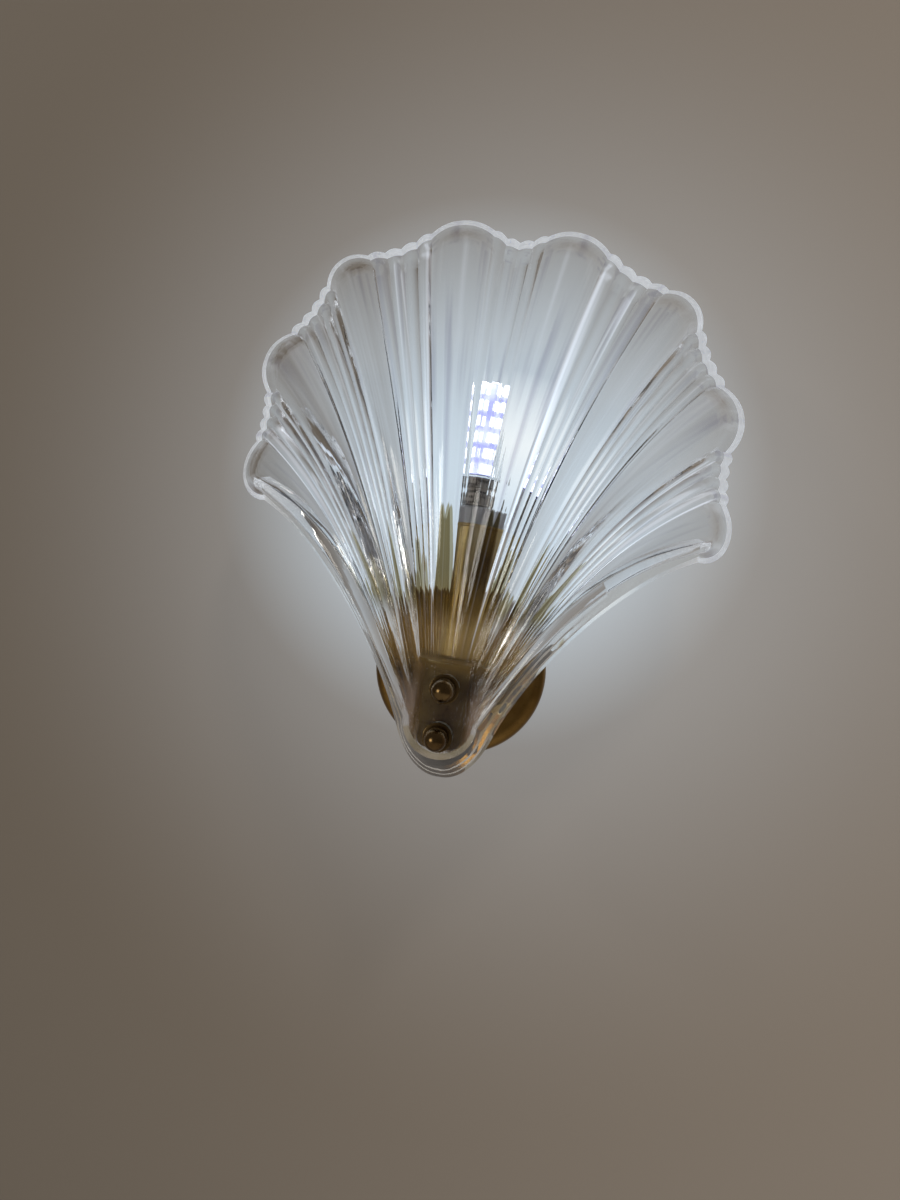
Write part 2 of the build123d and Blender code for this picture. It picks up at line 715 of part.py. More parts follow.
def pad_ring(near, far):
    return rod_y(PAD_R, near, far) - rod_y(SCREW_R + 0.1, near - 1, far + 1)


def back_pads():
    return at_both_screws(pad_ring(DROP_FRONT_Y - SHELL_PAD, DROP_FRONT_Y))


def front_pads():
    return at_both_screws(pad_ring(FOOT_Y - FRONT_PAD, FOOT_Y))


def washer():
    ring = rod_y(WASHER_R, WASHER_Y - WASHER_THICK, WASHER_Y)
    ring = fillet(ring.edges().group_by(Axis.Y)[0], 0.35)
    return ring - rod_y(SCREW_R + THREAD_GAP, WASHER_Y - 2 * WASHER_THICK, WASHER_Y + WASHER_THICK)


def ball_nut():
    """A blind nut: notched collar with a polished ball on the end."""
    collar = rod_y(COLLAR_R, NUT_Y - COLLAR_HEIGHT, NUT_Y)
    collar = chamfer(collar.edges(), 0.4)
    notch = rod_y(COLLAR_NOTCH, NUT_Y - COLLAR_HEIGHT - 1, NUT_Y + 1, 0.0, COLLAR_R + 0.1)
    for index in range(COLLAR_KNURLS):
        collar -= Rot(0, index * 360 / COLLAR_KNURLS, 0) * notch
    neck = rod_y(COLLAR_R * 0.62, BALL_Y, NUT_Y - COLLAR_HEIGHT + 0.5)
    ball = Pos(0, BALL_Y, 0) * Sphere(BALL_R)
    bore = rod_y(SCREW_R + THREAD_GAP, SCREW_TIP_Y - 0.6, NUT_Y + 1.0)
    return collar + neck + ball - bore


PIECES = {
    "wall_crossbar": [wall_crossbar()],
    "canopy": [canopy()],
    "canopy_side_screws": canopy_side_screws(),
    "earth_screw": [earth_screw()],
    "terminal_block": [terminal_block()],
    "terminal_screws": terminal_screws(),
    "arm_bracket": [arm_bracket()],
    "arm_nipple": [arm_nipple()],
    "arm_nipple_nuts": arm_nipple_nuts(),
    "lamp_nipple": [lamp_nipple()],
    "lamp_nipple_nuts": lamp_nipple_nuts(),
    "holder_sleeve": [holder_sleeve()],
    "socket_body": [socket_body()],
    "socket_contacts": socket_contacts(),
    "bulb_base": [bulb_base()],
    "bulb_pins": bulb_pins(),
    "bulb_envelope": [bulb_envelope()],
    "led_core": [led_core()],
    "glass_shade": [glass_shade()],
    "shade_screws": shade_screws(),
    "back_pads": back_pads(),
    "front_pads": front_pads(),
    "upper_washer": [Pos(0, 0, UPPER_SCREW_Z) * washer()],
    "lower_washer": [Pos(0, 0, LOWER_SCREW_Z) * washer()],
    "upper_ball_nut": [Pos(0, 0, UPPER_SCREW_Z) * ball_nut()],
    "lower_ball_nut": [Pos(0, 0, LOWER_SCREW_Z) * ball_nut()],
}

os.makedirs("parts", exist_ok=True)
for name, shapes in PIECES.items():
    solids = [solid for shape in shapes for solid in shape.solids()]
    whole = solids[0] if len(solids) == 1 else Compound(solids)
    export_step(whole, f"parts/{name}.step")
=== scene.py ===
import math

import bmesh
import bpy
from mathutils import Matrix, Vector


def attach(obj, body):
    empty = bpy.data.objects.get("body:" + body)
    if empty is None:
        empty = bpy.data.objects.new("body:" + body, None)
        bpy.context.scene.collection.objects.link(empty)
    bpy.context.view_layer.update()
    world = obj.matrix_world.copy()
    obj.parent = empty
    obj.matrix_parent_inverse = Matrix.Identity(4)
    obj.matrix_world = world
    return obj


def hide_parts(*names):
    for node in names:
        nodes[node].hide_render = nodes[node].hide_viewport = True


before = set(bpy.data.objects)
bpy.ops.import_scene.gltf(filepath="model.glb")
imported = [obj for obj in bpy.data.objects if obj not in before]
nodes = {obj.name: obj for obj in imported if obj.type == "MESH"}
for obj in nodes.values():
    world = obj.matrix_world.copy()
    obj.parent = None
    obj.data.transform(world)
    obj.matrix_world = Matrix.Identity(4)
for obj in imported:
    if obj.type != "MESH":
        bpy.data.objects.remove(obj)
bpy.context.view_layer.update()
studio = bpy.context.scene
studio.view_settings.view_transform = "Standard"

# ---------------------------------------------------------------------------
# Canopy, arm and lampholder cup. Spun and folded brass, lacquered once and
# since browned by age: darker in patches.


class Line:
    """One socket of a node tree. Sums written on it add their Math nodes."""

    def __init__(self, tree, socket=None):
        self.tree = tree
        self.socket = socket

    def node(self, kind, settings=None, sockets=None, out=0):
        """Adds a node: its settings first, then its sockets' values or links."""
        made = self.tree.nodes.new(kind)
        for name, value in (settings or {}).items():
            setattr(made, name, value)
        for name, value in (sockets or {}).items():
            if isinstance(value, Line):
                self.tree.links.new(value.socket, made.inputs[name])
            else:
                made.inputs[name].default_value = value
        return Line(self.tree, made.outputs[out] if len(made.outputs) else None)

    def math(self, operation, *others):
        terms = {place: term for place, term in enumerate((self, *others))}
        return self.node("ShaderNodeMath", {"operation": operation}, terms)

    def __add__(self, other):
        return self.math("ADD", other)

    def __sub__(self, other):
        return self.math("SUBTRACT", other)

    def __mul__(self, other):
        return self.math("MULTIPLY", other)

    def __truediv__(self, other):
        return self.math("DIVIDE", other)

    def __pow__(self, other):
        return self.math("POWER", other)

    def __rsub__(self, other):
        return self * -1.0 + other

    __radd__ = __add__
    __rmul__ = __mul__

    def mixed(self, low, high):
        """A colour between two, by this value."""
        made = self.tree.nodes.new("ShaderNodeMix")
        made.data_type = "RGBA"
        self.tree.links.new(self.socket, made.inputs[0])
        for shade, socket in ((low, made.inputs[6]), (high, made.inputs[7])):
            if isinstance(shade, Line):
                self.tree.links.new(shade.socket, socket)
            else:
                socket.default_value = (*shade, 1.0)
        return Line(self.tree, made.outputs[2])


def finish_named(name):
    """A bare material, its object coordinates and its Principled shader."""
    material = bpy.data.materials.new(name)
    material.use_nodes = True
    tree = material.node_tree
    shader = tree.nodes["Principled BSDF"]
    place = Line(tree).node("ShaderNodeTexCoord", out="Object")
    return material, place, shader


def feed(shader, place, **values):
    """Joins values to the shader: links where they vary, numbers where not."""
    for name, value in values.items():
        socket = shader.inputs[name.replace("_", " ")]
        if isinstance(value, Line):
            place.tree.links.new(value.socket, socket)
        else:
            socket.default_value = value


def clouds(place, scale, detail=3.0):
    """Soft noise from 0 to 1."""
    return place.node("ShaderNodeTexNoise", None, {"Vector": place, "Scale": scale, "Detail": detail})


def stretched(place, x, y, z):
    """The same place with each of its directions scaled, to draw noise out."""
    return place.node("ShaderNodeMapping", None, {"Vector": place, "Scale": (x, y, z)})


def band(value, low, high):
    """0 below low, 1 above high, smooth between."""
    sockets = {"Value": value, "From Min": low, "From Max": high}
    return value.node("ShaderNodeMapRange", {"interpolation_type": "SMOOTHSTEP"}, sockets)


def bumped(place, height, strength, depth):
    """A bump from the height, as deep as depth in metres at full strength."""
    return place.node("ShaderNodeBump", None, {"Height": height, "Strength": strength, "Distance": depth})


def aged_brass(name, deep, bright, dull, brushed=0.0):
    """Browned brass: deep and bright tones in clouds, dark specks, fine upright scratches."""
    material, place, shader = finish_named(name)
    patches = band(clouds(place, 46.0, 4.0), 0.36, 0.66)
    specks = band(clouds(place, 900.0, 2.0), 0.58, 0.72)
    scratches = clouds(stretched(place, 1.0, 1.0, 0.06), 2600.0, 2.0)
    dents = clouds(place, 240.0, 2.0)
    speck_tone = tuple(0.45 * part for part in deep)
    tone = (specks * 0.35).mixed(patches.mixed(deep, bright), speck_tone)
    rough = patches * -0.07 + specks * 0.12 + scratches * brushed + dull
    feed(shader, place, Base_Color=tone, Roughness=rough, Metallic=1.0)
    feed(shader, place, Normal=bumped(place, scratches * 0.7 + dents * 0.3, 0.12, 0.0002))
    return material


def dress(material, *names):
    """Gives CAD nodes their finish."""
    for name in names:
        nodes[name].data.materials.clear()
        nodes[name].data.materials.append(material)


# One brass in three tones: the canopy's deeper than the cup's and the arm's deeper still, as painted shade.
canopy_shaded_brass = aged_brass("canopy_shaded_brass", (0.170, 0.092, 0.024), (0.270, 0.160, 0.048), 0.34)
arm_shaded_brass = aged_brass("arm_shaded_brass", (0.110, 0.058, 0.017), (0.270, 0.175, 0.056), 0.34, 0.10)
cup_brass = aged_brass("cup_brass", (0.400, 0.280, 0.105), (0.620, 0.470, 0.210), 0.36, 0.12)
dress(canopy_shaded_brass, "canopy", "canopy_side_screws", "arm_nipple_nuts")
dress(arm_shaded_brass, "arm_bracket", "lamp_nipple_nuts")
dress(cup_brass, "holder_sleeve", "socket_contacts")

# ---------------------------------------------------------------------------
# Wall bar, hollow tubes and screws behind the canopy. Zinc-plated steel,
# with the faint bloom and the dull spots that plating takes on.
zinc, place, shader = finish_named("zinc_plate")
bloom = band(clouds(place, 120.0, 3.0), 0.35, 0.70)
spots = band(clouds(place, 700.0, 2.0), 0.60, 0.75)
plating = bloom.mixed((0.60, 0.60, 0.58), (0.52, 0.53, 0.50))
tone = (spots * 0.5).mixed(plating, (0.30, 0.29, 0.27))
feed(shader, place, Base_Color=tone, Roughness=bloom * 0.10 + spots * 0.15 + 0.30, Metallic=1.0)
feed(shader, place, Normal=bumped(place, clouds(place, 500.0), 0.10, 0.0002))
dress(zinc, "wall_crossbar", "earth_screw", "terminal_screws", "arm_nipple", "lamp_nipple", "shade_screws")

# ---------------------------------------------------------------------------
# Terminal block and the shade's pads: moulded off-white polyamide with a fine
# spark-eroded skin and a little dust.
moulded, place, shader = finish_named("moulded_nylon")
dust = band(clouds(place, 160.0, 4.0), 0.45, 0.75)
tone = dust.mixed((0.80, 0.79, 0.74), (0.66, 0.64, 0.58))
feed(shader, place, Base_Color=tone, Roughness=dust * 0.15 + 0.45)
feed(shader, place, Normal=bumped(place, clouds(place, 3000.0, 2.0), 0.25, 0.0001))
dress(moulded, "terminal_block", "back_pads", "front_pads")

# ---------------------------------------------------------------------------
# Lampholder insert: a glazed ceramic plug, pale grey, with a soft gloss and
# the pin-prick pores of the firing.
glazed, place, shader = finish_named("glazed_ceramic")
pores = band(clouds(place, 1400.0, 2.0), 0.62, 0.74)
tone = pores.mixed((0.52, 0.52, 0.56), (0.32, 0.32, 0.34))
feed(shader, place, Base_Color=tone, Roughness=pores * 0.3 + 0.28)
feed(shader, place, Normal=bumped(place, 1 - pores, 0.2, 0.0002))
dress(glazed, "socket_body")

# ---------------------------------------------------------------------------
# Lamp: a clear capsule on a ribbed collar, with two steel pins. Inside, a
# core of light chips in rows, cool white between lilac-blue chips.
collar, place, shader = finish_named("lamp_collar")
rings = (place.node("ShaderNodeSeparateXYZ", None, {0: place}, out="Z") * 2600.0).math("SINE")
pits = place.node("ShaderNodeTexVoronoi", None, {"Vector": place, "Scale": 420.0})
weave = band(pits + rings * 0.12, 0.25, 0.60)
tone = weave.mixed((0.10, 0.085, 0.075), (0.42, 0.38, 0.34))
feed(shader, place, Base_Color=tone, Roughness=weave * 0.2 + 0.3, Metallic=0.6)
feed(shader, place, Normal=bumped(place, weave, 0.5, 0.0004))
dress(collar, "bulb_base")
dress(zinc, "bulb_pins")

capsule, place, shader = finish_named("capsule_glass")
feed(shader, place, Base_Color=(0.98, 0.99, 1.0, 1.0), Transmission_Weight=1.0, IOR=1.45)
feed(shader, place, Roughness=clouds(place, 60.0) * 0.02 + 0.01)
dress(capsule, "bulb_envelope")

lit, place, shader = finish_named("chip_glow")
glare = clouds(place, 240.0, 2.0)
tone = band(glare, 0.40, 0.62).mixed((0.86, 0.93, 1.0), (1.0, 1.0, 1.0))
feed(shader, place, Base_Color=(0.9, 0.92, 1.0, 1.0), Roughness=0.5)
feed(shader, place, Emission_Color=tone, Emission_Strength=2.2)

board, place, shader = finish_named("chip_board")
height = place.node("ShaderNodeSeparateXYZ", None, {0: place}, out="Z")
halo = band(clouds(place, 150.0, 3.0) + band(height, 0.118, 0.124) * 0.5, 0.40, 0.66)
tone = halo.mixed((0.42, 0.44, 0.95), (0.80, 0.86, 1.0))
feed(shader, place, Base_Color=(0.55, 0.57, 0.75, 1.0), Roughness=0.5)
feed(shader, place, Emission_Color=tone, Emission_Strength=1.0)

lamp_y = -48.0
chips_around, chip_rows, rim_chip_count = 9, 6, 10
chip_sunk, first_row_up, last_row_down = 0.1, 2.2, 2.4
rim_ring_share, rim_chip_scale = 0.72, (3.2, 1.0, 0.4)
weld_gap = 2e-6
core_sizes = {
    "Core radius": 7.0, "Core low": 86.5, "Core high": 124.5,
    "Chip wide": 3.0, "Chip tall": 4.0, "Chip proud": 0.7,
}


def new_tree(name, sizes):
    """A Geometry Nodes tree with one named input for each size, in mm."""
    tree = bpy.data.node_groups.new(name, "GeometryNodeTree")
    for label, size in sizes.items():
        entry = tree.interface.new_socket(label, in_out="INPUT", socket_type="NodeSocketFloat")
        entry.default_value = size
    tree.interface.new_socket("Geometry", in_out="OUTPUT", socket_type="NodeSocketGeometry")
    entrance = tree.nodes.new("NodeGroupInput")
    return Line(tree), {label: Line(tree, entrance.outputs[label]) for label in sizes}


def fixed_mesh(name, shape, sizes):
    """Runs the shape's tree once and keeps its result as a plain mesh object."""
    tree = shape.tree
    exit_node = tree.nodes.new("NodeGroupOutput")
    realized = shape.node("GeometryNodeRealizeInstances", None, {"Geometry": shape})
    tree.links.new(realized.socket, exit_node.inputs["Geometry"])
    carrier = bpy.data.objects.new(name, bpy.data.meshes.new(name))
    studio.collection.objects.link(carrier)
    step = carrier.modifiers.new(name, "NODES")
    step.node_group = tree
    for entry in tree.interface.items_tree:
        if entry.in_out == "INPUT":
            step[entry.identifier] = sizes[entry.name]
    depsgraph = bpy.context.evaluated_depsgraph_get()
    depsgraph.update()
    result = bpy.data.meshes.new_from_object(carrier.evaluated_get(depsgraph), depsgraph=depsgraph)
    carrier.modifiers.clear()
    carrier.data = result
    form = bmesh.new()
    form.from_mesh(result)
    bmesh.ops.remove_doubles(form, verts=form.verts, dist=weld_gap)
    bmesh.ops.recalc_face_normals(form, faces=form.faces)
    form.to_mesh(result)
    form.free()
    return carrier


def painted(shape, material):
    return shape.node("GeometryNodeSetMaterial", None, {"Geometry": shape, "Material": material})


def joined(shapes):
    made = shapes[0].tree.nodes.new("GeometryNodeJoinGeometry")
    for shape in reversed(shapes):
        shape.tree.links.new(shape.socket, made.inputs[0])
    return Line(shapes[0].tree, made.outputs[0])


def point(start, x, y, z):
    return start.node("ShaderNodeCombineXYZ", None, {"X": x, "Y": y, "Z": z})


def parts_of(vector):
    split = vector.node("ShaderNodeSeparateXYZ", None, {0: vector}).socket.node
    return [Line(vector.tree, split.outputs[axis]) for axis in range(3)]


def moved(start, shape, to):
    return start.node("GeometryNodeSetPosition", None, {"Geometry": shape, "Position": to})


def round_rows(start, around, rows, radius, low, high, offset):
    """Points round an upright axis in rows, and the turn that faces each outwards."""
    grid = start.node("GeometryNodeMeshGrid", None, {"Vertices X": around + 1, "Vertices Y": rows})
    across, along, _ = parts_of(start.node("GeometryNodeInputPosition"))
    turn = across * (2 * math.pi)
    level = (high - low) * (along + 0.5) + low if rows > 1 else low
    spot = point(start, turn.math("COSINE") * radius, turn.math("SINE") * radius + offset, level)
    x, y, _ = parts_of(start.node("GeometryNodeInputPosition"))
    return moved(start, grid, spot), point(start, 0.0, 0.0, (y - offset).math("ARCTAN2", x))


def repeated(piece, spots, facing, scale=(1.0, 1.0, 1.0)):
    sockets = {"Points": spots, "Instance": piece, "Rotation": facing, "Scale": scale}
    return piece.node("GeometryNodeInstanceOnPoints", None, sockets)


def in_metres(shape):
    return shape.node("GeometryNodeTransform", None, {"Geometry": shape, "Scale": (0.001, 0.001, 0.001)})


start, size = new_tree("chip_core", core_sizes)
core_long = size["Core high"] - size["Core low"]
core_middle = (size["Core high"] + size["Core low"]) * 0.5
tube = {"Vertices": 48, "Radius": size["Core radius"], "Depth": core_long}
tube = start.node("GeometryNodeMeshCylinder", None, tube)
tube = {"Geometry": tube, "Translation": point(start, 0.0, lamp_y, core_middle)}
tube = start.node("GeometryNodeTransform", None, tube)
chip = point(start, size["Chip proud"], size["Chip wide"], size["Chip tall"])
chip = start.node("GeometryNodeMeshCube", None, {"Size": chip})
seat, core_top = size["Core radius"] - chip_sunk, size["Core high"]
first_row, last_row = size["Core low"] + first_row_up, core_top - last_row_down
chips = repeated(chip, *round_rows(start, chips_around, chip_rows, seat, first_row, last_row, lamp_y))
seat = size["Core radius"] * rim_ring_share
rim = round_rows(start, rim_chip_count, 1, seat, core_top, core_top, lamp_y)
rim_chips = repeated(chip, *rim, rim_chip_scale)
whole = joined([painted(tube, board), painted(chips, lit), painted(rim_chips, lit)])
core = fixed_mesh("chip_core", in_metres(whole), core_sizes)
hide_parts("led_core")
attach(core, "lamp")

# ---------------------------------------------------------------------------
# The shell: one piece of clear pressed glass. Its fluted face has eight broad
# lobes with groups of four narrow reeds between them, running from a flat
# foot to a scalloped crown. Thick skirts turn back to a ground, milky edge.
shell_sizes = {
    "Foot depth": -80.0, "Foot radius": 15.0, "Foot low": -16.0, "Foot high": -5.0, "Glass": 4.5,
    "Crown half width": 104.2, "Crown middle": 88.0, "Crown rise": 108.0, "Crown depth": -36.0,
    "Corner depth": -43.0, "Toe depth": -48.0, "Skirt": 8.0, "Edge width": 4.8, "Bulge": 9.0,
    "Lobe rise": 1.0, "Valley": 5.0, "Bead": 1.5,
}

# The edge below the crown, in the wall's plane as (x, z): a corner, a flank that
# falls to the waist, and a toe. A pull is how far a curve's handle reaches, and
# only these shares of it reach above the corner and below the waist.
corner, corner_pull = (96.0, 63.5), (32.0, 14.5)
waist, waist_pull = (20.5, -24.0), (12.5, 35.0)
above_corner, below_waist = 0.27, 0.32
toe_low, toe_pull, side_pull = -44.8, 9.5, 12.0

# From the middle outwards: half a group of reeds, a lobe, then whole groups.
reed_widths = (5.9, 7.6, 6.6, 5.6)
lobe_widths = (28.2, 22.8, 29.0, 29.0)
lobe_rises = (5.1, 5.7, 7.15, 4.85)
bead_shares = (0.9, 1.0, 1.1, 1.0)
reed_columns, lobe_columns, face_rows, skirt_rows = 12, 30, 52, 3
crown_steps, edge_steps = 400, 96

# Each group's valley is this much shallower than the one before it, and a
# power above 2 makes a lobe's crest broad.
valley_fade, crest_power = 0.22, 2.2

# The crown's squareness, the face's roundness, and where its ribs end inside
# the outline, at the middle and at the corner.
oval_power, face_round = 2 / 2.4, 0.93
rib_end, corner_rib_end, corner_power = 8.0, 4.5, 6

# The last rib's lean at the foot and at the crown, how it spreads over the
# others, and how far a rib's handles reach.
fan_low, low_spread = math.radians(30.0), 0.95
fan_high, high_spread = math.radians(71.0), 1.1
rib_pull, rib_long = 0.38, 1.8

# How relief grows along a rib, which runs from 0 at the foot to 1 at the crown.
bulge_growth, flute_growth, middle_growth = 0.3, 0.8, 2.2
bead_start, bead_full, bead_gain, bead_fade = 0.04, 0.36, 1.5, 0.5
crown_lean = math.radians(60.0)
lining_inset, lining_relief, rim_thicker = 2.0, 0.85, 0.31
flank_arch, rim_swell = 15.0, 1.4
stroke_scale = (52.0, 1.3)


def bezier(start, a, b, c, d):
    """A curve from a to d with two pulls. A pair is a place (x, z) in the wall's plane."""
    spots = [(spot[0], 0.0, spot[1]) if isinstance(spot, tuple) else spot for spot in (a, b, c, d)]
    sockets = dict(zip(("Start", "Start Handle", "End Handle", "End"), spots), Resolution=edge_steps)
    return start.node("GeometryNodeCurvePrimitiveBezierSegment", {"mode": "POSITION"}, sockets)


def pulled(spot, pull, share):
    """A curve's handle: its spot, moved by a share of the pull."""
    return spot[0] + share * pull[0], spot[1] + share * pull[1]


def sampled(curve, share):
    """Where the curve is at a share of its length, and its outward side."""
    settings = {"mode": "FACTOR", "use_all_curves": True}
    sockets = {"Curves": curve, "Factor": share}
    spot = curve.node("GeometryNodeSampleCurve", settings, sockets, out="Position")
    along = Line(curve.tree, spot.socket.node.outputs["Tangent"])
    x, _, z = parts_of(spot)
    run_x, _, run_z = parts_of(along)
    return x, z, run_z * -1.0, run_x


start, size = new_tree("pressed_shell", shell_sizes)

# The crown is a squared oval, then a short shoulder down to the corner.
turn = start.node("GeometryNodeSplineParameter", out="Factor") * (math.pi / 2)
oval = start.node("GeometryNodeCurvePrimitiveLine", None, {"End": (1.0, 0.0, 0.0)})
oval = start.node("GeometryNodeResampleCurve", None, {"Curve": oval, "Count": crown_steps})
oval_x = (turn.math("SINE").math("MAXIMUM", 0.0) ** oval_power) * size["Crown half width"]
oval_z = (turn.math("COSINE").math("MAXIMUM", 0.0) ** oval_power) * size["Crown rise"] + size["Crown middle"]
oval = moved(start, oval, point(start, oval_x, 0.0, oval_z))
side_top = point(start, size["Crown half width"], 0.0, size["Crown middle"])
below_side = point(start, size["Crown half width"], 0.0, size["Crown middle"] - side_pull)
shoulder = bezier(start, side_top, below_side, pulled(corner, corner_pull, above_corner), corner)
crown = joined([oval, shoulder])

# The flank falls from the corner to the waist, and the toe goes under the foot.
flank_handles = pulled(corner, corner_pull, -1.0), pulled(waist, waist_pull, 1.0)
flank = bezier(start, corner, *flank_handles, waist)
under = bezier(start, waist, pulled(waist, waist_pull, -below_waist), (toe_pull, toe_low), (0.0, toe_low))
edge_line = joined([flank, under])
flank_long = start.node("GeometryNodeCurveLength", None, {"Curve": flank})
under_long = start.node("GeometryNodeCurveLength", None, {"Curve": under})
waist_share = flank_long / (flank_long + under_long)

# Every sheet starts as a unit grid: u runs across the shell, v along a rib.
across, along, _ = parts_of(start.node("GeometryNodeInputPosition"))
u, v = across + 0.5, along + 0.5


def limited(t):
    """Never below 0 or above 1."""
    return t.math("MAXIMUM", 0.0).math("MINIMUM", 1.0)


def flutes(u):
    """The share of the crown at u, the relief and the two beads there, and the columns."""
    columns = [2 * reed_columns] + [4 * reed_columns] * 3
    total = sum(columns) + 4 * lobe_columns
    run, rise, middle_bead, bead, column = 0.0, 0.0, 0.0, 0.0, 0
    for group in range(4):
        reeds = 2 if group == 0 else 4
        t = limited((u * total - column) * (1 / columns[group]))
        run = t * (reeds * reed_widths[group]) + run
        phase = t * (reeds / 4) + (1 - reeds / 4)
        rise = (phase * math.pi).math("SINE") * size["Valley"] * (valley_fade * group - 1) + rise
        reed = (t * (math.pi * reeds)).math("SINE").math("ABSOLUTE")
        reed = reed * (size["Bead"] * bead_shares[group])
        if group == 0:
            middle_bead = reed
        else:
            bead = reed + bead
        column += columns[group]
        t = limited((u * total - column) * (1 / lobe_columns))
        run = t * lobe_widths[group] + run
        crest = 1 - (t * 2 - 1).math("ABSOLUTE") ** crest_power
        rise = crest * size["Lobe rise"] * lobe_rises[group] + rise
        column += lobe_columns
    reach = 2 * reed_widths[0] + 4 * sum(reed_widths[1:]) + sum(lobe_widths)
    return run / reach, (rise, middle_bead, bead), total


def foot_outline(share, shrink):
    """Round the flat foot, from its top middle to where the flank starts."""
    arc = size["Foot radius"] * (math.pi / 2)
    run = share * (arc + size["Foot high"] - size["Foot low"])
    turn = run.math("MINIMUM", arc) / size["Foot radius"]
    x = turn.math("SINE") * (size["Foot radius"] - shrink)
    z = turn.math("COSINE") * (size["Foot radius"] - shrink) + size["Foot high"]
    return x, z - (run - arc).math("MAXIMUM", 0.0)


def back_depth(share):
    return (size["Corner depth"] - size["Crown depth"]) * share ** 3 + size["Crown depth"]


def rib_point(share, rise, v, lining):
    """A point of the fluted face, or of the lining behind it."""
    tip_x, tip_z, out_x, out_z = sampled(crown, share)
    inset = size["Glass"] if lining else 0.0
    x0, z0 = foot_outline(share, lining_inset if lining else 0.0)
    back = share ** corner_power * (corner_rib_end - rib_end) + rib_end + inset
    x3, z3 = tip_x - out_x * back, tip_z - out_z * back
    reach = (((x3 - x0) ** 2 + (z3 - z0) ** 2) ** 0.5) * rib_pull
    first = share ** low_spread * fan_low
    last = share ** high_spread * fan_high
    x1, z1 = x0 + reach * first.math("SINE"), z0 + reach * first.math("COSINE")
    x2, z2 = x3 - reach * last.math("SINE"), z3 - reach * last.math("COSINE")
    w = 1 - v
    w0, w1, w2, w3 = w ** 3, w * w * v * 3, w * v * v * 3, v ** 3
    x = w0 * x0 + w1 * x1 + w2 * x2 + w3 * x3
    z = w0 * z0 + w1 * z1 + w2 * z2 + w3 * z3
    far = v * (1 - inset / size["Crown rise"] / rib_long) if lining else v
    fall = (1 - (1 - (far * face_round) ** 2) ** 0.5) * (1 / (1 - math.sqrt(1 - face_round ** 2)))
    face = (back_depth(share) - size["Skirt"] - size["Foot depth"]) * fall + size["Foot depth"]
    y = face - (far * math.pi).math("SINE") * (far ** bulge_growth) * size["Bulge"]
    rise, middle_bead, bead = rise
    lift = rise * v ** flute_growth
    if lining:
        y = y + size["Glass"] * (v ** 3 * rim_thicker + 1)
        lift = lift * lining_relief
    else:
        bead = bead * v ** 0.5 * (v * -bead_fade + bead_gain) * band(v, bead_start, bead_full)
        lift = lift + bead + middle_bead * v ** middle_growth
    tilt = v ** 3 * crown_lean
    outward = lift * tilt.math("SINE")
    return x + outward * out_x, y - lift * tilt.math("COSINE"), z + outward * out_z


def crown_back(share, rise, lining):
    """A point of the ground edge along the crown."""
    x, z, out_x, out_z = sampled(crown, share)
    out = (rise[0] if lining else rise[0] + rise[1] + rise[2]) * math.sin(crown_lean)
    if lining:
        out = out * lining_relief - size["Edge width"]
    return x + out * out_x, back_depth(share), z + out * out_z


def flank_back(t, lining):
    """A point of the ground edge below the corner, arched off the wall."""
    x, z, out_x, out_z = sampled(edge_line, t)
    y = (size["Toe depth"] - size["Corner depth"]) * t + size["Corner depth"]
    y = y - (t * math.pi).math("SINE") * flank_arch
    if lining:
        x, z = x - out_x * size["Edge width"], z - out_z * size["Edge width"]
    return x, y, z


def sheet(columns, rows, place, material, reed=0.0):
    """A unit grid moved to its place, in metres, and its mirror image.

    The rib attribute keeps u, v and the height of the reed for the glass.
    """
    grid = start.node("GeometryNodeMeshGrid", None, {"Vertices X": columns + 1, "Vertices Y": rows + 1})
    spot = point(start, *place)
    spot = start.node("ShaderNodeVectorMath", {"operation": "SCALE"}, {0: spot, "Scale": 0.001})
    rib = point(start, u * stroke_scale[0], v * stroke_scale[1], reed)
    rib = {"Geometry": grid, "Name": "rib", "Value": rib}
    grid = start.node("GeometryNodeStoreNamedAttribute", {"data_type": "FLOAT_VECTOR"}, rib)
    half = moved(start, grid, spot)
    other = start.node("GeometryNodeTransform", None, {"Geometry": half, "Scale": (-1.0, 1.0, 1.0)})
    return painted(joined([half, other]), material)


def ruled(near, far, t):
    """A point on the straight line between two edges."""
    return [a + (b - a) * t for a, b in zip(near, far)]


# The pressed glass, with light and shade painted along the ribs: dark strokes high up
# are painted shade for the dim room seen through it, olive tongues above the arm are
# painted brass seen through it, and bright painted glints run on the reeds. Low down,
# the foot's ring has a painted glow beside the arm's plate, and a faint warm painted
# glow lies above the arm.
clear_glass, place, shader = finish_named("pressed_glass")
rib = place.node("ShaderNodeAttribute", {"attribute_name": "rib"}, out="Vector")
sideways, _, height = parts_of(place)
sideways = sideways.math("ABSOLUTE")
canopy_round = sideways * sideways * 18.0
ripple = clouds(place, 38.0, 2.0)
strokes = clouds(stretched(rib, 0.7, 0.8, 0.0), 1.0, 2.0)
# Painted shade: dark strokes high up, for the dim room seen through the glass.
painted_dark_strokes = clouds(stretched(rib, 0.7, 0.9, 0.0), 1.0, 2.0)
painted_dark_strokes = band(painted_dark_strokes, 0.54, 0.64) * band(height, 0.045, 0.080)
# Painted brass: olive tongues above the arm, for the brass seen through the clear glass.
painted_brass_tongues = clouds(stretched(rib, 0.22, 0.2, 0.0), 1.0, 2.0) * 0.26 - height - canopy_round
painted_brass_tongues = band(painted_brass_tongues, 0.0845, 0.0865) * band(height, 0.020, 0.032)
on_reed = band(parts_of(rib)[2], 0.1, 0.7) * 0.8 + 0.2
# Painted glints: bright emitted lines along the reeds, for light caught on them.
painted_glints = clouds(stretched(rib, 0.8, 0.4, 0.0), 1.0, 2.0)
painted_glints = band(painted_glints, 0.55, 0.66) * on_reed * band(height, 0.006, 0.020)
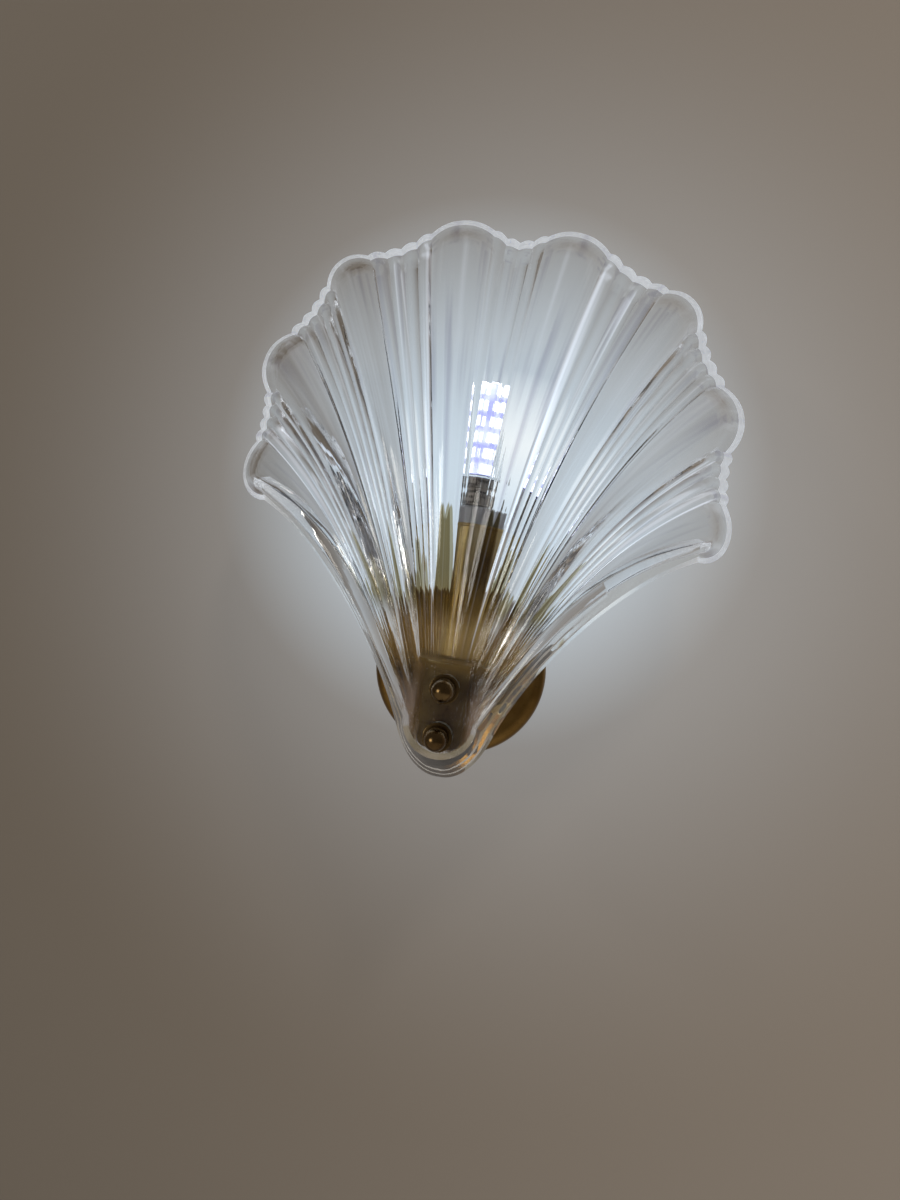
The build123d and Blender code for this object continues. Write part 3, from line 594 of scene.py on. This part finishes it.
# Painted glow: the foot's ring beside the arm's plate, and a faint warm glow above the arm.
beside_plate = band(sideways, 0.0100, 0.0125).math("MAXIMUM", band(height * -1.0, 0.0275, 0.0295))
painted_foot_glow = beside_plate * band(height * -1.0, -0.004, 0.010)
painted_arm_glow = band(height, 0.000, 0.014) * (1 - band(height + canopy_round, 0.030, 0.046))
tint = painted_dark_strokes.mixed((0.965, 0.985, 1.0), (0.74, 0.74, 0.80))
tint = painted_brass_tongues.mixed(tint, (0.25, 0.20, 0.095))
glow = painted_arm_glow.mixed((0.0, 0.0, 0.0), (0.024, 0.014, 0.002))
glow = painted_foot_glow.mixed(glow, (0.036, 0.028, 0.024))
glow = painted_glints.mixed(glow, (0.165, 0.178, 0.205))
feed(shader, place, Base_Color=tint, Roughness=ripple * 0.008, IOR=1.5, Transmission_Weight=1.0)
feed(shader, place, Emission_Color=glow, Emission_Strength=1.0)
feed(shader, place, Normal=bumped(place, strokes * 0.8 + ripple * 0.2, 0.30, 0.0008))

# The skirts of the flanks and the toe get warm streaks painted in for the brass seen
# through them, and the toe's back edge is painted warm all along for the same brass.
skirt_glass, place, shader = finish_named("skirt_painted_brass")
height = parts_of(place)[2]
streaks = clouds(stretched(place, 1.0, 0.35, 0.5), 95.0, 2.0)
# Painted brass: warm streaks low on the skirts, for the brass seen through the glass.
warm = band(height * -12.0 + streaks * 2.4, 0.95, 1.30) * band(height, -0.034, -0.016)
tint = warm.mixed((0.91, 0.90, 0.875), (0.42, 0.30, 0.12))
feed(shader, place, Base_Color=tint, Roughness=streaks * 0.01, IOR=1.5, Transmission_Weight=1.0)
feed(shader, place, Normal=bumped(place, streaks, 0.2, 0.002))

toe_edge_glass, place, shader = finish_named("toe_edge")
streaks = clouds(place, 120.0, 2.0)
# Painted brass: a warm tint along the toe's back edge, for the brass seen through it.
tint = band(streaks, 0.3, 0.7).mixed((0.42, 0.31, 0.13), (0.72, 0.62, 0.40))
feed(shader, place, Base_Color=tint, Roughness=streaks * 0.02, IOR=1.5, Transmission_Weight=1.0)
feed(shader, place, Normal=bumped(place, streaks, 0.2, 0.001))


def ground_down(shader, place):
    """Glass ground milky, with a painted glow for the lamp's light caught inside it. Returns its grain."""
    grain = clouds(place, 1500.0, 3.0)
    milk = band(grain, 0.3, 0.7).mixed((0.70, 0.73, 0.78), (0.84, 0.87, 0.91))
    feed(shader, place, Base_Color=milk, Roughness=grain * 0.2 + 0.5)
    # Painted glow: the ground edge glows as if lit from inside.
    feed(shader, place, Emission_Color=(0.93, 0.96, 1.0, 1.0), Emission_Strength=0.42)
    return grain


ground_glass, place, shader = finish_named("ground_edge")
feed(shader, place, Normal=bumped(place, ground_down(shader, place), 0.3, 0.0002))

# The ground band runs on a little past each corner. The flank's edge is milky
# beyond 97 mm from the middle and clear within 68 mm.
fading_glass, place, shader = finish_named("fading_edge")
ground_down(shader, place)
clear = {"Base Color": (0.955, 0.975, 0.99, 1.0), "Roughness": 0.02, "IOR": 1.5, "Transmission Weight": 1.0}
clear = place.node("ShaderNodeBsdfPrincipled", None, clear)
past_corner = band(parts_of(place)[0].math("ABSOLUTE"), 0.068, 0.097)
blend = {0: past_corner, 1: clear, 2: Line(place.tree, shader.outputs[0])}
blend = place.node("ShaderNodeMixShader", None, blend)
place.tree.links.new(blend.socket, place.tree.nodes["Material Output"].inputs["Surface"])

# The face and then its lining, each as sheets: the fluted face, its skirt, the
# foot's skirt and its flat, and the flank. The rim, the toe's edge and the
# flanks' edges close the wall between the two.
sheets, backs = [], {}
for lining in (False, True):
    share, rise, columns = flutes(u)
    foot_r = size["Foot radius"] - (lining_inset if lining else 0.0)
    foot_y = size["Foot depth"] + (size["Glass"] if lining else 0.0)
    low_turn = u * (math.pi / 2)
    low_z = size["Foot low"] - low_turn.math("COSINE") * foot_r
    low_round = (low_turn.math("SINE") * foot_r, foot_y, low_z)
    high_x, high_z = foot_outline(share, lining_inset if lining else 0.0)
    flat, tip = u * 0.0, v * 0.0 + 1.0
    side = rib_point(flat + 1.0, (flat, flat, flat), v, lining)
    crown_edge = crown_back(share, rise, lining)
    toe_edge = flank_back((waist_share - 1) * u + 1, lining)
    flank_edge = flank_back((1 - v) * waist_share, lining)
    backs[lining] = (crown_edge, toe_edge, flank_edge)

    face = rib_point(share, rise, v, lining)
    skirt = ruled(rib_point(share, rise, tip, lining), crown_edge, v)
    foot = ruled((high_x, foot_y, high_z), low_round, v)
    sheets.append(sheet(columns, face_rows, face, clear_glass, rise[1] + rise[2]))
    sheets.append(sheet(columns, skirt_rows, skirt, clear_glass))
    sheets.append(sheet(columns, skirt_rows, ruled(low_round, toe_edge, v), skirt_glass))
    sheets.append(sheet(columns, 2, foot, clear_glass))
    sheets.append(sheet(skirt_rows, face_rows, ruled(side, flank_edge, u), skirt_glass))
rim_x, rim_y, rim_z = ruled(backs[False][0], backs[True][0], v)
rim = (rim_x, rim_y + (v * math.pi).math("SINE") * rim_swell, rim_z)
sheets.append(sheet(columns, 5, rim, ground_glass))
sheets.append(sheet(columns, 1, ruled(backs[False][1], backs[True][1], v), toe_edge_glass))
sheets.append(sheet(1, face_rows, ruled(backs[False][2], backs[True][2], u), fading_glass))
whole = start.node("GeometryNodeMergeByDistance", None, {"Geometry": joined(sheets), "Distance": weld_gap})
whole = start.node("GeometryNodeSetShadeSmooth", None, {"Geometry": whole})
shell = fixed_mesh("pressed_shell", whole, shell_sizes)
shell.data.set_sharp_from_angle(angle=math.radians(38))
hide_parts("glass_shade")
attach(shell, "fixture")

# ---------------------------------------------------------------------------
# Washers and blind ball nuts. Turned brass, browned in the knurls and
# polished bright on the ball by fingers.
nut_brass = aged_brass("nut_brass", (0.200, 0.120, 0.055), (0.520, 0.380, 0.210), 0.06)
knurl_brass = aged_brass("knurl_brass", (0.090, 0.050, 0.018), (0.240, 0.160, 0.070), 0.26)
washer_brass = aged_brass("washer_brass", (0.110, 0.066, 0.025), (0.200, 0.130, 0.055), 0.26)
dress(washer_brass, "upper_washer", "lower_washer")

screw_heights = {"upper": -2.5, "lower": -21.9}
ball_r, ball_y, nut_y = 4.4, -88.4, -82.0
dome = [math.radians(angle) for angle in range(6, 133, 6)]
dome = [(ball_r * math.sin(angle), ball_y - ball_r * math.cos(angle)) for angle in dome]
nut_outline = [(0.0, ball_y - ball_r)] + dome + [
    (3.15, -85.35), (3.45, -85.42), (4.10, -85.40), (4.35, -85.25), (4.50, -84.95), (4.50, -82.45),
    (4.30, -82.15), (4.05, nut_y), (2.05, nut_y), (2.05, -88.5), (0.0, -88.6),
]
knurl_sizes = {"Knurl ring": 4.48, "Knurl size": 0.40, "Knurl long": 2.3, "Knurl middle": -83.7}
knurl_count = 40


def turned(piece, outline, height, around=72):
    """Adds a lathe form about a screw's axis, from its (radius, depth) outline."""
    form = bmesh.new()
    form.from_mesh(piece.data)
    rings = []
    for radius, depth in outline:
        turns = [2 * math.pi * k / around for k in range(around if radius else 1)]
        spots = [(radius * math.sin(turn), depth, height + radius * math.cos(turn)) for turn in turns]
        rings.append([form.verts.new([0.001 * part for part in spot]) for spot in spots])
    for ring, after in zip(rings, rings[1:]):
        for k in range(around):
            near = [ring[k % len(ring)], ring[(k + 1) % len(ring)]]
            far = [after[(k + 1) % len(after)], after[k % len(after)]]
            form.faces.new(list(dict.fromkeys(near + far))).smooth = True
    bmesh.ops.recalc_face_normals(form, faces=form.faces)
    form.to_mesh(piece.data)
    form.free()


for side, height in screw_heights.items():
    nut_sizes = {**knurl_sizes, "Screw height": height}
    start, size = new_tree(side + "_knurls", nut_sizes)
    ring = {"Vertices": knurl_count, "Radius": size["Knurl ring"]}
    ring = start.node("GeometryNodeMeshCircle", None, ring)
    spot = point(start, 0.0, size["Knurl middle"], size["Screw height"])
    ring = {"Geometry": ring, "Rotation": (math.pi / 2, 0.0, 0.0), "Translation": spot}
    ring = start.node("GeometryNodeTransform", None, ring)
    x, _, z = parts_of(start.node("GeometryNodeInputPosition"))
    facing = point(start, 0.0, x.math("ARCTAN2", z - size["Screw height"]) + math.pi / 4, 0.0)
    ridge = point(start, size["Knurl size"], size["Knurl long"], size["Knurl size"])
    ridge = start.node("GeometryNodeMeshCube", None, {"Size": ridge})
    ridges = painted(repeated(ridge, ring, facing), knurl_brass)
    nut = fixed_mesh(side + "_nut", in_metres(ridges), nut_sizes)
    knurled = len(nut.data.polygons)
    turned(nut, nut_outline, height)
    nut.data.materials.append(nut_brass)
    for face in nut.data.polygons[knurled:]:
        face.material_index = 1
    nut.data.set_sharp_from_angle(angle=math.radians(40))
    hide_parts(side + "_ball_nut")
    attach(nut, side + "_nut")

# ---------------------------------------------------------------------------
# The room: a plain warm-grey wall with the lamp's cool glow on it, a pale
# floor, soft lights, and the camera where the photographer stood.
wall_paint = bpy.data.materials.new("wall_paint")
wall_paint.use_nodes = True
wall_paint.node_tree.nodes.clear()
coat = Line(wall_paint.node_tree)
x, _, z = parts_of(coat.node("ShaderNodeTexCoord", out="Object"))


def pool(centre, radius, power):
    """A round pool of light that fades to nothing at its radius."""
    reach = ((x - centre[0]) ** 2 + (z - centre[1]) ** 2) ** 0.5 / radius
    return (1 - reach.math("MINIMUM", 1.0)) ** power


# Painted shade: the wall is darker towards the left; pools of painted light brighten it about the lamp.
painted_wall_shade = band(x, -0.30, 0.36).mixed((0.070, 0.056, 0.041), (0.165, 0.136, 0.108))
tone = pool((0.018, 0.080), 0.32, 2.0).mixed(painted_wall_shade, (0.43, 0.44, 0.45))
tone = pool((-0.002, 0.094), 0.135, 1.2).mixed(tone, (0.70, 0.83, 0.94))
tone = pool((0.010, 0.110), 0.034, 0.8).mixed(tone, (0.93, 0.98, 1.0))
lit_paint = coat.node("ShaderNodeEmission", None, {"Color": tone, "Strength": 1.0})
matt_paint = coat.node("ShaderNodeBsdfDiffuse", None, {"Color": (0.08, 0.07, 0.06, 1.0)})
front_face = coat.node("ShaderNodeAddShader", None, {0: lit_paint, 1: matt_paint})
see_through = coat.node("ShaderNodeBsdfTransparent")
back_side = coat.node("ShaderNodeNewGeometry", out="Backfacing")
paint = coat.node("ShaderNodeMixShader", None, {0: back_side, 1: front_face, 2: see_through})
coat.node("ShaderNodeOutputMaterial", None, {"Surface": paint})

pale_floor, place, shader = finish_named("pale_floor")
feed(shader, place, Base_Color=(0.78, 0.76, 0.73, 1.0), Roughness=0.6)


def board_of(name, corners, paint):
    flat = bpy.data.objects.new(name, bpy.data.meshes.new(name))
    studio.collection.objects.link(flat)
    flat.data.from_pydata(corners, [], [(0, 1, 2, 3)])
    flat.data.materials.append(paint)
    return flat


half_wide, floor_z, wall_top, wall_y = 2, -0.6, 2, 0.0005
wall = board_of("wall", [(-half_wide, wall_y, floor_z), (half_wide, wall_y, floor_z),
                         (half_wide, wall_y, wall_top), (-half_wide, wall_y, wall_top)], wall_paint)
floor = board_of("floor", [(-half_wide, -3, floor_z), (half_wide, -3, floor_z),
                           (half_wide, 1, floor_z), (-half_wide, 1, floor_z)], pale_floor)

# Glass and brass mirror a dim room with one bright pane of a window. Plain
# surfaces get an even light.
world = bpy.data.worlds.new("room")
studio.world = world
world.use_nodes = True
air = Line(world.node_tree)
aim = air.node("ShaderNodeTexCoord", out="Generated")
to_window = {0: aim, 1: (-0.66, -0.75, 0.03)}
to_window = air.node("ShaderNodeVectorMath", {"operation": "DOT_PRODUCT"}, to_window, out="Value")
dim_room = band(to_window, 0.974, 0.985).mixed((0.115, 0.105, 0.098), (5.0, 4.8, 4.4))
room_tone = air.node("ShaderNodeLightPath", out="Is Diffuse Ray").mixed(dim_room, (0.28, 0.27, 0.26))
world.node_tree.links.new(room_tone.socket, world.node_tree.nodes["Background"].inputs["Color"])


def soft_light(name, spot, width, power, tint):
    """A round soft light aimed at the arm, which no mirror image shows."""
    data = bpy.data.lights.new(name, "AREA")
    data.shape = "DISK"
    data.size = width
    data.energy = power
    data.color = tint
    lamp = bpy.data.objects.new(name, data)
    studio.collection.objects.link(lamp)
    lamp.location = spot
    lamp.rotation_euler = (light_aim - Vector(spot)).to_track_quat("-Z", "Y").to_euler()
    lamp.visible_camera = False
    lamp.visible_transmission = False
    lamp.visible_glossy = False


light_aim = Vector((0.0, -0.05, 0.05))
soft_light("ceiling", (0.3, -0.9, 1.3), 0.22, 9.0, (1.0, 0.97, 0.93))
soft_light("window", (-0.8, -0.55, 0.55), 0.14, 2.2, (0.96, 0.98, 1.0))

film_height, photo_height, focal_pixels = 36.0, 1200.0, 901.0
camera_place = (0.0322, -0.436, 0.0432)
camera_data = bpy.data.cameras.new("camera")
camera_data.sensor_fit = "VERTICAL"
camera_data.sensor_height = film_height
camera_data.lens = film_height * focal_pixels / photo_height
camera_data.clip_start = 0.01
camera = bpy.data.objects.new("camera", camera_data)
studio.collection.objects.link(camera)
yaw, pitch, roll = math.radians(5.67), math.radians(-1.66), math.radians(8.49)
ahead = Vector((-math.sin(yaw) * math.cos(pitch), math.cos(yaw) * math.cos(pitch), math.sin(pitch)))
level = Vector((math.cos(yaw), math.sin(yaw), 0.0))
upright = level.cross(ahead)
right = math.cos(roll) * level + math.sin(roll) * upright
up = -math.sin(roll) * level + math.cos(roll) * upright
facing_lamp = Matrix((right, up, -ahead)).transposed().to_4x4()
camera.matrix_world = Matrix.Translation(camera_place) @ facing_lamp
studio.camera = camera
